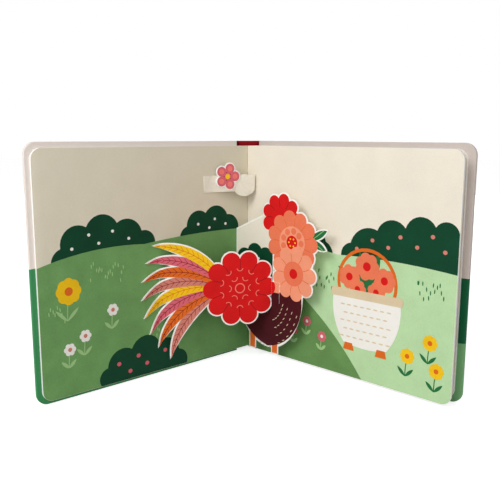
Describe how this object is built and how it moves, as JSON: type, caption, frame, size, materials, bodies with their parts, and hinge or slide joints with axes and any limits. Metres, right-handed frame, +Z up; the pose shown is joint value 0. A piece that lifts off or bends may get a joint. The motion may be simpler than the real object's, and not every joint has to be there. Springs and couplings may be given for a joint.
{
  "type": "pop-up book",
  "caption": "Hard-backed pop-up book with board pages, standing open at a spread of folded paper flowers.",
  "frame": {"origin": "middle of the spine's foot, on the surface that the book stands on", "axes": "+Z up along the spine, +X to the reader's right; the reader looks along +Y into the open book"},
  "size_m": [0.3119, 0.1524, 0.19],
  "materials": {
    "cover": "matt laminated paper over board",
    "spine": "matt laminated paper over board",
    "joint_paper": "matt paper",
    "page": "matt printed board",
    "coral_card": "matt printed card",
    "red_card": "matt printed card",
    "white_card": "matt card",
    "pink_card": "matt printed card"
  },
  "bodies": {
    "back_half": {"back_cover": "cover", "page_block": "page", "blossom_card": "coral_card", "support_strip": "white_card", "back_joint": "joint_paper"},
    "front_half": {"front_cover": "cover", "left_page": "page", "fan_card": "red_card", "bridge_strip": "white_card", "ornament": "pink_card", "front_joint": "joint_paper"},
    "spine_body": {"spine": "spine"}
  },
  "joints": [
    {"name": "cover_hinge", "type": "hinge", "parent": "back_half", "child": "front_half", "pos_m": [0.00053, -0.01007, 0], "axis": [0, 0, 1], "range_deg": [-88, 92.5], "deforming": ["blossom_card", "support_strip", "fan_card", "bridge_strip", "ornament", "front_joint"]},
    {"name": "spine_hinge", "type": "hinge", "parent": "back_half", "child": "spine_body", "pos_m": [0.01003, 0.00326, 0], "axis": [0, 0, 1], "range_deg": [-30, 31.5], "deforming": ["back_joint"]}
  ],
  "couplings": [
    {"joint": "spine_hinge", "follows": "cover_hinge", "ratio": 0.34}
  ]
}
